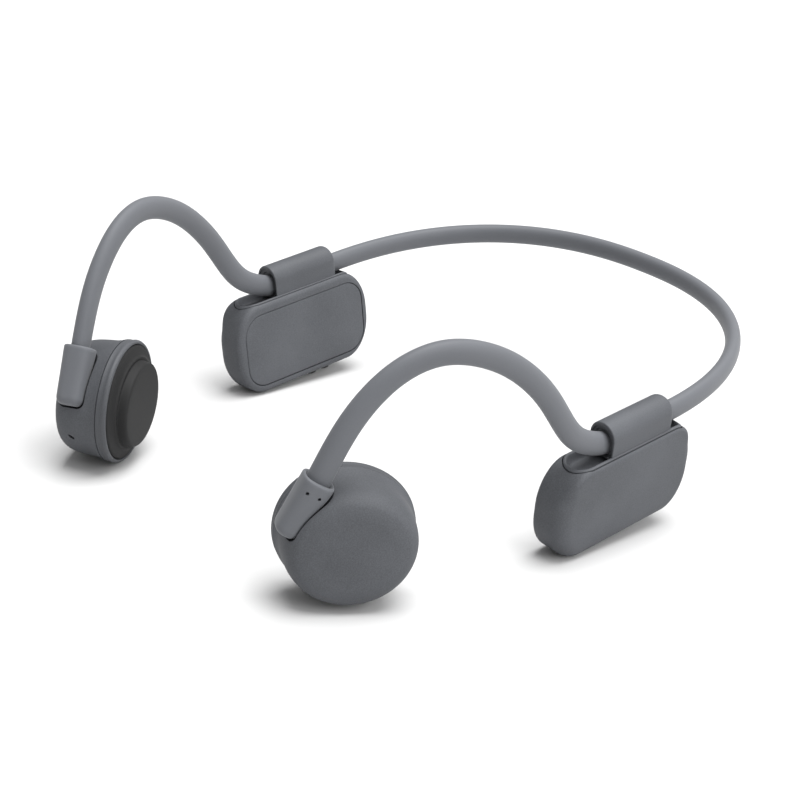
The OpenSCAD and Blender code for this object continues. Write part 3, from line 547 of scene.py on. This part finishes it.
for name, side in sides.items():
    shell = skin(name + "BoxShell", shellRings(), inBox, side)
    cutters = [coverSeat(side), skin("boatSeat", boatSeat(), inBox, side)]
    if name == "right":
        cutters += portCutters(side)
    carve(shell, cutters)
    finishPiece(shell, "shell_plastic", bodyOf[name], name + "_box_shell")
    cover = skin(name + "BoxCover", coverRings(coverSteps), inBox, side)
    finishPiece(cover, "shell_plastic", bodyOf[name], name + "_box_cover")
print("boxes made")


def archProfile(cols):
    # outer line of the arch round the tube, by angle: a round crown on straight sides with a flat foot
    a = np.linspace(0, 2 * np.pi, cols, endpoint=False)
    c, s = np.cos(a), np.sin(a)
    w, top, foot = clampPiece["halfWide"], clampPiece["crown"], clampPiece["foot"]
    cz = top - w
    b = cz * s
    crown = b + np.sqrt(np.maximum(b * b + w * w - cz * cz, 0))
    wall = w / np.maximum(np.abs(c), 1e-6)
    floorLine = np.where(s < 0, foot / np.minimum(s, -1e-6), 1e9)
    reach = np.where(s * np.minimum(wall, 1e3) > cz, crown, wall)
    reach = np.minimum(reach, floorLine)
    bore = np.column_stack([clampPiece["boreThin"] * c, clampPiece["boreWide"] * s])
    return np.column_stack([c * reach, s * reach]), bore


def archRings(cols=160):
    # rings at (share of the wall, distance along): in at the mouth, round the bevel, back, and in again
    outer, bore = archProfile(cols)
    L = clampPiece["length"]
    bevelWall, bevelLong = clampPiece["bevel"]
    backWall, backLong = clampPiece["back"]
    profile = list(clampPiece["mouth"])
    profile += [(1 - bevelWall + bevelWall * math.sin(v), bevelLong * (1 - math.cos(v)))
                for v in np.radians(np.linspace(15, 90, 6))]
    profile += [(1.0, y) for y in np.linspace(0.8, L - 1.5, 9)]
    profile += [(1 - backWall * (1 - math.cos(v)), L - backLong * (1 - math.sin(v)))
                for v in np.radians(np.linspace(0, 90, 10))]
    profile += [(0.3, L), (0.26, L - 0.4), (0.0, L - 0.5)]
    return np.array([np.column_stack([bore[:, 0] + (outer[:, 0] - bore[:, 0]) * w, np.full(cols, y),
                                      bore[:, 1] + (outer[:, 1] - bore[:, 1]) * w]) for w, y in profile])


def boatRings():
    # rings from the core line outwards: a trough under both tubes, then a thin rim that follows the box's top
    x, y, core = boatOutline()
    deep, inside, over = clampPiece["trough"]
    drop, wide = clampPiece["lip"]
    rings = []
    for t in np.r_[np.linspace(0.02, 0.7, 14), np.linspace(0.72, 1, 18)]:
        edge = (1 - t) * clampPiece["boatHalf"]
        low = deep * ease((edge - inside) / over) + drop * ease(1 - edge / wide)
        z = clampPiece["top"] + clampPiece["rim"] - low - clampPiece["follow"] * topDrop(core + y * t)
        rings.append(np.column_stack([x * t, core + y * t, z]))
    for down in clampPiece["skirt"]:
        z = clampPiece["top"] - down - clampPiece["follow"] * topDrop(core + y)
        rings.append(np.column_stack([x, core + y, z]))
    return np.array(rings)


for name, side in sides.items():
    arch = skin(name + "ClampArch", archRings(), inBox, side, wrapRows=True, sharp=38)
    finishPiece(arch, "clamp_plastic", bodyOf[name], name + "_clamp")
    boat = skin(name + "ClampBase", boatRings(), inBox, side, sharp=50)
    boat.data.materials.append(look["clamp_plastic"])
    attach(boat, bodyOf[name])
print("clamps made")

podPiece = {"round": 12.24, "seam": 12.75, "ring": 12.81, "depth": 7.61, "power": 2.9, "flat": 0.62,
            "seamAt": 10.32, "lipAt": 11.94, "aspect": 1.07, "cols": 260, "wall": (0.9, 1.2, 3),
            "swell": (0.072, 66.0, 50.0), "swellFrom": (4, 9), "swellOver": (6, 3)}


def revolve(profile, cols=podPiece["cols"]):
    # (radius, depth) rows turned about the pod's axis, a little longer than high; a bell-shaped swell
    # raises the upper side of the deeper rows
    a = np.linspace(0, 2 * np.pi, cols, endpoint=False)
    p = np.asarray(profile, float)
    size, middle, spread = podPiece["swell"]
    deepFrom, wideFrom = podPiece["swellFrom"]
    deepOver, wideOver = podPiece["swellOver"]
    off = (np.degrees(a) - middle + 180) % 360 - 180
    swell = size * ease((p[:, 1:] - deepFrom) / deepOver) * ease((p[:, :1] - wideFrom) / wideOver)
    r = p[:, :1] * (1 + swell * np.exp(-(off / spread) ** 2))
    x, y = r * np.cos(a) * podPiece["aspect"], r * np.sin(a)
    return np.stack([x, y, np.repeat(p[:, 1:], cols, axis=1)], axis=-1)


def podOuter():
    # a flat face, a superellipse round its edge, and a drum that widens a little to the seam
    p, flat = podPiece, podPiece["flat"]
    k = 1 - np.linspace(1, 0, 40) ** 1.6
    r = p["round"] * (flat + (1 - flat) * (1 - (1 - k) ** p["power"]) ** (1 / p["power"]))
    face = [(q * p["round"] * flat, 0.0) for q in np.linspace(0.02, 0.96, 24)]
    drum = [(p["round"] + (p["seam"] - p["round"]) * t * t, p["depth"] + (p["seamAt"] - p["depth"]) * t)
            for t in np.linspace(0, 1, 12)[1:]]
    return face + list(zip(r, p["depth"] * k)) + drum


# head: rows at (distance from the mouth, share of the width, share of the thickness)
clipPiece = {"outside": 3.3, "inside": 3.3, "footOutside": 2.75, "footInside": 2.0, "length": 12.5,
             "thick": 3.2, "footThick": 2.75, "power": 2.8, "waist": (1.5, 7.5), "footRound": 1.7,
             "footShares": (0.62, 1.1, 0.5), "gap": 0.4, "pocketStart": -4.0, "pins": (-1.0, 1.55),
             "pinAt": 2.5, "pinRound": 0.34, "pinDeep": 1.2,
             "head": ((1.3, 0.72, 0.54), (0.5, 0.78, 0.6), (0.14, 0.84, 0.68), (0.0, 0.91, 0.82),
                      (0.1, 0.97, 0.94), (0.4, 1, 1))}


def clipRings(grow=0.0, start=0.0, cols=120):
    # oval sections from the mouth to the foot; the inner side runs in along an S-curve, and both ends
    # are drawn in
    p = clipPiece
    L = p["length"] + grow
    head = [(start, 1, 1), (start / 2, 1, 1), (0.4, 1, 1)] if grow else list(p["head"])
    narrow, rate, thin = p["footShares"]
    foot = [(L - p["footRound"] * (1 - math.sin(v)), 1 - narrow * (1 - math.cos(v)) ** rate,
             1 - thin * (1 - math.cos(v))) for v in np.radians(np.linspace(4, 90, 14))]
    rows = np.array(head + [(s, 1, 1) for s in np.linspace(0.9, L - 1.8, 26)] + foot)
    a = np.linspace(0, 2 * np.pi, cols, endpoint=False)
    c, s = np.cos(a), np.sin(a)
    along = rows[:, 0:1]
    waistFrom, waistOver = p["waist"]
    out = p["outside"] + (p["footOutside"] - p["outside"]) * np.clip(along / L, 0, 1) + grow
    into = p["inside"] + (p["footInside"] - p["inside"]) * ease((along - waistFrom) / waistOver) + grow
    x = np.sign(c) * np.abs(c) ** (2 / p["power"]) * np.where(c > 0, out, into) * rows[:, 1:2]
    thick = p["thick"] + (p["footThick"] - p["thick"]) * np.clip(along / L, 0, 1) + grow
    z = np.sign(s) * np.abs(s) ** (2 / p["power"]) * thick * rows[:, 2:3]
    return np.stack([x, along + 0 * x, z], axis=-1)


micPiece = {"turn": -15, "depth": 4.6, "wide": 0.42, "lean": 0.3, "tall": 0.72, "radii": (10.5, 12, 15)}


def micHole(side):  # a leaning oval carried outwards through the pod's wall
    a = math.radians(micPiece["turn"])
    t = np.linspace(0, 2 * np.pi, 40, endpoint=False)
    v = micPiece["wide"] * np.cos(t) - micPiece["lean"] * np.sin(t)
    z = micPiece["depth"] + micPiece["tall"] * np.sin(t)
    rings = [np.column_stack([r * math.cos(a) - v * math.sin(a), r * math.sin(a) + v * math.cos(a), z])
             for r in micPiece["radii"]]
    return skin("micHole", np.array(rings), inPod, side)


# root and inside: (radius, depth) rows; lip: how wide and how tall its round is
bezelPiece = {"root": ((11.0, 9.4), (12.0, 9.6), (12.35, 10.2)), "lip": (0.5, 0.75), "cols": 220,
              "inside": ((12.2, 12.66), (12.1, 12.5), (12.02, 11.6), (11.4, 10.9))}


def bezelLine():
    # out from under the shell, past the seam to the round lip, and back down inside
    ring, seamAt, lipAt = podPiece["ring"], podPiece["seamAt"], podPiece["lipAt"]
    wide, tall = bezelPiece["lip"]
    line = [(ring - 0.15, seamAt + 0.1), (ring - 0.02, seamAt + 0.28), (ring - 0.07, 11.1), (ring - 0.03, 11.6),
            (ring + 0.09, lipAt - 0.1), (ring + 0.1, lipAt)]
    line += [(ring + 0.1 - wide * (1 - math.cos(v)), lipAt + tall * math.sin(v))
             for v in np.radians(np.linspace(10, 90, 8))]
    return list(bezelPiece["root"]) + line + list(bezelPiece["inside"])


# root and step: (radius, depth) rows; edge: the outer ring's round; disc: radius, depth and round
padPiece = {"root": ((0.3, 11.4), (11.8, 11.4), (11.96, 12.0), (11.96, 12.4)), "edge": (0.8, 0.6), "cols": 220,
            "step": ((10.7, 13.16), (10.2, 13.36), (10.0, 13.55), (9.9, 13.75), (9.75, 13.84), (9.45, 13.8),
                     (9.3, 13.7), (9.16, 13.8), (9.1, 14.1), (9.06, 14.9)),
            "disc": (9.0, 15.05, 0.7), "face": (15.78, 0.05, 8)}


def padLine():
    # the back, the outer ring's round edge, the step up to the disc, its round edge, and a crowned face
    radius, depth = padPiece["root"][-1]
    wide, tall = padPiece["edge"]
    discRadius, discDepth, discRound = padPiece["disc"]
    faceDepth, crown, reach = padPiece["face"]
    line = list(padPiece["root"])
    line += [(radius - wide * (1 - math.cos(v)), depth + tall * math.sin(v))
             for v in np.radians(np.linspace(10, 80, 7))]
    line += padPiece["step"]
    line += [(discRadius - discRound * (1 - math.cos(v)), discDepth + discRound * math.sin(v))
             for v in np.radians(np.linspace(5, 85, 8))]
    return line + [(q, faceDepth + crown * (1 - (q / reach) ** 2)) for q in (7.6, 6.5, 5, 3.5, 2, 0.6)]


def clipPins(side):  # two small holes in the clip's outer face
    face = -clipPiece["thick"]
    r = clipPiece["pinRound"]
    rings = [circleRing(x, clipPiece["pinAt"], r, r, 24) for x in clipPiece["pins"]]
    return [post("pin", ring, face - 1, face + clipPiece["pinDeep"], inClip, side) for ring in rings]


for name, side in sides.items():
    seam, seamAt = podPiece["seam"], podPiece["seamAt"]
    under, inner, back = podPiece["wall"]
    profile = podOuter() + [(seam - under, seamAt), (seam - inner, seamAt - back)]
    profile += [(q, seamAt - back) for q in (8, 4, 0.5)]
    pod = skin(name + "PodShell", revolve(profile), inPod, side)
    cutters = [skin("pocket", clipRings(grow=clipPiece["gap"], start=clipPiece["pocketStart"]), inClip, side)]
    if name == "right":
        cutters.append(micHole(side))
    carve(pod, cutters)
    finishPiece(pod, "shell_plastic", bodyOf[name], name + "_pod_shell")

    clip = skin(name + "Clip", clipRings(), inClip, side, sharp=60)
    carve(clip, clipPins(side), 50)
    finishPiece(clip, "silicone", bodyOf[name], name + "_clip")

    bezel = skin(name + "Bezel", revolve(bezelLine(), bezelPiece["cols"]), inPod, side, wrapRows=True, sharp=40)
    finishPiece(bezel, "bezel_plastic", bodyOf[name], name + "_bezel")
    pad = skin(name + "Pad", revolve(padLine(), padPiece["cols"]), inPod, side)
    finishPiece(pad, "pad_silicone", bodyOf[name], name + "_pad")
print("pods made")
